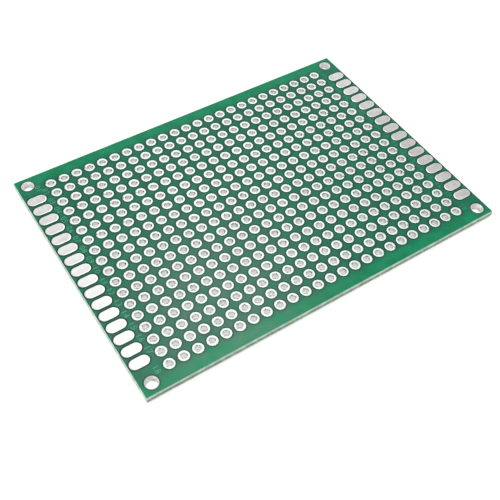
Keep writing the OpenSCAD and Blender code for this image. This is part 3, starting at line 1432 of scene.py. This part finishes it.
@dataclass
class RowNumbers(Piece):
    """Row numbers in low relief under the mask, beside the rows at one end.

    Attributes:
        end: the board's end.
        x, first_x, last_x: middles of the numbers, of the first and of the last.
        drop: how far they lie towards the front from halfway between the rows.
        height: height of a digit.
        relief, root: how far the digits stand over the mask, and reach into it.
        thin, space, curve_steps: what is taken off the digits' strokes, and the space
            that they take up, in heights of the type, and steps of their curves.
    """

    slot = "solder_mask"
    end: End
    x: float
    first_x: float
    last_x: float
    drop: float = 0.0
    height: float = 0.96 * MM
    relief: float = 0.02 * MM
    root: float = 0.01 * MM
    thin: float = 0.014
    space: float = 1.15
    curve_steps: int = 2

    def names(self) -> tuple[str, str]:
        """The piece's name: it replaces no node."""
        return f"{self.end.name.lower()}_row_numbers", ""

    def number(self, text: str) -> tuple[Array, Array]:
        """Mesh of one number about its own middle, as triangles.

        Args:
            text: the number.

        Returns:
            Points (n, 3), with the digits one unit high, and triangles (m, 3).
        """
        curve = bpy.data.curves.new("digits", "FONT")
        curve.body = text
        curve.extrude = 0.5
        curve.offset = -self.thin
        curve.space_character = self.space
        curve.resolution_u = self.curve_steps
        holder = put("digits", curve)
        depsgraph = bpy.context.evaluated_depsgraph_get()
        mesh = bpy.data.meshes.new_from_object(holder.evaluated_get(depsgraph))
        mesh.calc_loop_triangles()
        points = np.empty((len(mesh.vertices), 3))
        mesh.vertices.foreach_get("co", points.reshape(-1))
        triangles = np.empty((len(mesh.loop_triangles), 3), np.int32)
        mesh.loop_triangles.foreach_get("vertices", triangles.reshape(-1))
        bpy.data.objects.remove(holder)
        bpy.data.curves.remove(curve)
        bpy.data.meshes.remove(mesh)
        low, high = points.min(0), points.max(0)
        return (points - (low + high) / 2) / (high[1] - low[1]), triangles

    def mesh(self) -> Shell:
        """Makes all the numbers, turned a quarter to the right.

        Returns:
            The piece's points and faces.
        """
        s = self.sizes
        between = (s.row_y[:-1] + s.row_y[1:]) / 2 - self.drop
        places = np.stack([np.full(len(s.row_y), self.x), np.append(s.row_y[0], between)], 1)
        places[0] = self.first_x, s.row_y[0]
        places[-1] = self.last_x, s.row_y[-1]
        all_points, all_faces, start = [], [], 0
        for row, (x, y) in enumerate(places, 1):
            points, triangles = self.number(f"{row:02d}")
            width, tall = points[:, 0] * self.height, points[:, 1] * self.height
            z = s.film_top + np.where(points[:, 2] > 0, self.relief, -self.root)
            all_points.append(np.column_stack([x + tall, y - width, z]))
            all_faces.append(triangles + start)
            start += len(points)
        return np.concatenate(all_points), all_faces


# ---- The studio ----


@dataclass(frozen=True)
class Softbox:
    """Square soft light that looks at the board's middle.

    Attributes:
        name, size: the light's name, and its side.
        azimuth, elevation: where it stands, in degrees from +X and above the floor.
        distance: how far away it stands.
        radiance: brightness of its surface, where 1 is white.
    """

    name: str
    azimuth: float
    elevation: float
    distance: float
    size: float
    radiance: float

    def build(self) -> None:
        """Adds the light, with the power that gives its surface the stated brightness."""
        light = bpy.data.lights.new(self.name, "AREA")
        light.shape = "SQUARE"
        light.size = self.size
        light.energy = self.radiance * math.pi * self.size**2
        holder = put(self.name, light)
        a, e = math.radians(self.azimuth), math.radians(self.elevation)
        way = Vector((math.cos(a) * math.cos(e), math.sin(a) * math.cos(e), math.sin(e)))
        holder.location = way * self.distance
        holder.rotation_mode = "QUATERNION"
        holder.rotation_quaternion = way.to_track_quat("Z", "Y")


@dataclass
class Studio:
    """Pale floor, plain soft light and a white background.

    Attributes:
        sizes: the board's sizes.
        daylight: strength of the light from all round.
        softboxes: the lamps.
        floor_half, floor_drop: half the floor's side, and how far it lies below the board.
        floor_tone, fibre, fibres: the floor's own grey, the size of its fibres, and the
            factors of the darkest and the lightest of them.
        floor_glow: what the floor adds towards white where it is seen.
        hole_glow, hole_blur: painted light: what it adds more under the screw holes, which
        lifts their shade, and how far past them that fades.
    """

    sizes: BoardSizes
    daylight: float = 0.72
    softboxes: tuple[Softbox, ...] = (
        Softbox("key", 59.0, 60.5, 0.50, 0.12, 10.3),
        Softbox("fill", 238.0, 50.0, 0.60, 0.30, 0.6),
        Softbox("side", 186.0, 26.0, 0.60, 0.30, 3.0),
    )
    floor_half: float = 1.5
    floor_drop: float = 0.02 * MM
    floor_tone: float = 0.82
    fibre: float = 1.2 * MM
    fibres: Span = (0.985, 1.015)
    floor_glow: float = 0.42
    hole_glow: float = 0.20
    hole_blur: float = 0.5 * MM

    def build_world(self) -> None:
        """Adds even light from all round, with white where it is seen or mirrored."""
        world = bpy.data.worlds.new("studio")
        bpy.context.scene.world = world
        nodes = Nodes(world)
        even, white = (nodes.add("Background", {"Color": (1, 1, 1, 1), "Strength": strength})
                       for strength in (self.daylight, 1.0))
        path = nodes.add("LightPath").outputs
        seen = nodes.math("MAXIMUM", path["Is Camera Ray"], path["Is Glossy Ray"])
        seen = nodes.math("MAXIMUM", seen, path["Is Transmission Ray"])
        mix = nodes.add("MixShader", {0: seen, 1: even.outputs[0], 2: white.outputs[0]})
        nodes.add("OutputWorld", {"Surface": mix.outputs[0]})

    def paper(self) -> Material:
        """Finish of the floor: matt, lifted towards white where seen, white where mirrored.

        Returns:
            The material.
        """
        material = bpy.data.materials.new("floor_paper")
        nodes = BoardNodes(material, self.sizes)
        fibre = nodes.ramp(nodes.noise(self.fibre, 3.0), *MIDDLE, *self.fibres)
        grey = nodes.shaded((self.floor_tone,) * 3, fibre)
        matt = nodes.add("BsdfDiffuse", {"Color": grey, "Roughness": 0.5}).outputs[0]
        # Painted light: the floor is lifted more under the screw holes
        hole, glow = self.sizes.screw_r, self.floor_glow
        under = nodes.ramp(
            nodes.from_screw(), hole, hole + self.hole_blur, glow + self.hole_glow, glow)
        lift, white = (nodes.add("Emission", {"Color": (1, 1, 1, 1), "Strength": strength})
                       for strength in (under, 1.0))
        lifted = nodes.add("AddShader", {0: matt, 1: lift.outputs[0]})
        path = nodes.add("LightPath").outputs
        seen = nodes.add("MixShader", {0: path["Is Camera Ray"], 1: matt, 2: lifted.outputs[0]})
        mirrored = nodes.math("MAXIMUM", path["Is Glossy Ray"], path["Is Transmission Ray"])
        mix = nodes.add("MixShader", {0: mirrored, 1: seen.outputs[0], 2: white.outputs[0]})
        nodes.add("OutputMaterial", {"Surface": mix.outputs[0]})
        return material

    def build_floor(self) -> None:
        """Adds the floor, just below the board."""
        h, z = self.floor_half, -self.floor_drop
        mesh = bpy.data.meshes.new("floor")
        mesh.from_pydata([(-h, -h, z), (h, -h, z), (h, h, z), (-h, h, z)], [], [(0, 1, 2, 3)])
        mesh.materials.append(self.paper())
        put("floor", mesh)

    def build(self) -> None:
        """Builds the world, the floor and the lamps."""
        self.build_world()
        self.build_floor()
        for lamp in self.softboxes:
            lamp.build()
        bpy.context.scene.view_settings.view_transform = "Standard"


@dataclass(frozen=True)
class CameraStand:
    """The camera, above the board's near left corner.

    Attributes:
        place: where it stands.
        target: the point that it looks at.
        roll: its turn about the line of sight, in degrees, anticlockwise.
        lens, sensor: focal length and frame width, in millimetres.
        reach: nearest and farthest distance that it sees.
    """

    place: tuple[float, float, float] = (-0.05353, -0.07462, 0.10422)
    target: tuple[float, float, float] = (-0.00697, -0.00976, 0.0016)
    roll: float = 3.37
    lens: float = 55.34
    sensor: float = 36.0
    reach: Span = (0.005, 10.0)

    def build(self) -> None:
        """Adds the camera and makes it the scene's own."""
        data = bpy.data.cameras.new("camera")
        data.lens, data.sensor_width = self.lens, self.sensor
        data.clip_start, data.clip_end = self.reach
        camera = put("camera", data)
        sight = Vector(self.target) - Vector(self.place)
        turn = sight.to_track_quat("-Z", "Y").to_matrix()
        turn = turn @ Matrix.Rotation(math.radians(self.roll), 3, "Z")
        camera.matrix_world = Matrix.Translation(self.place) @ turn.to_4x4()
        bpy.context.scene.camera = camera


# ---- The whole board ----


@dataclass
class PrototypeBoard:
    """The board with its finishes.

    Attributes:
        sizes: the board's sizes.
    """

    sizes: BoardSizes

    def build(self) -> None:
        """Builds the laminate, the masks, the eyelets, the edge pads and the numbers."""
        s = self.sizes
        plate = Laminate(s)
        laminate = LaminateFinish("raw_laminate", s, plate.web / 2).build()
        mask = MaskFinish("green_mask", s).build()
        # The raised numbers' masks have no painted shade round the openings
        raised, worn = (
            MaskFinish(name, s, margin=green, field=green, pool=(1.0, 1.0, 1.0)).build()
            for name, green in (("raised_mask", (0.10, 0.42, 0.23)),
                                ("worn_raised_mask", (0.05, 0.30, 0.165))))
        # The same tin is lighter on the eyelets than on the pads: painted light on the domed lands
        pad_tin = PadFinish("pad_tin", s, bright=(0.49, 0.495, 0.485)).build()
        eyelet_tin = EyeletFinish("eyelet_tin", s, bright=(0.63, 0.715, 0.68), roughness=0.53,
                                  pitting=0.2, relief=0.5, cloudy=0.07).build()
        left = RowNumbers(s, End.LEFT, x=-30.75 * MM, first_x=-31.6 * MM, last_x=-31.3 * MM,
                          drop=0.15 * MM)
        right = RowNumbers(s, End.RIGHT, x=30.72 * MM, first_x=30.9 * MM, last_x=30.9 * MM)
        pieces = [
            (plate, laminate),
            *((MaskFilm(s, face), mask) for face in Face),
            *((EyeletRow(s, row), eyelet_tin) for row in range(len(s.row_y))),
            *((EdgePads(s, end, face), pad_tin) for end in End for face in Face),
            (left, raised), (right, worn),
        ]
        for piece, finish in pieces:
            piece.build(finish)
        log.info("%d pieces in all", len(pieces))


def main() -> None:
    """Builds the camera, the studio and the board."""
    sizes = BoardSizes.from_frame(frame["record"])
    CameraStand().build()
    Studio(sizes).build()
    PrototypeBoard(sizes).build()


if __name__ == "__main__":
    main()
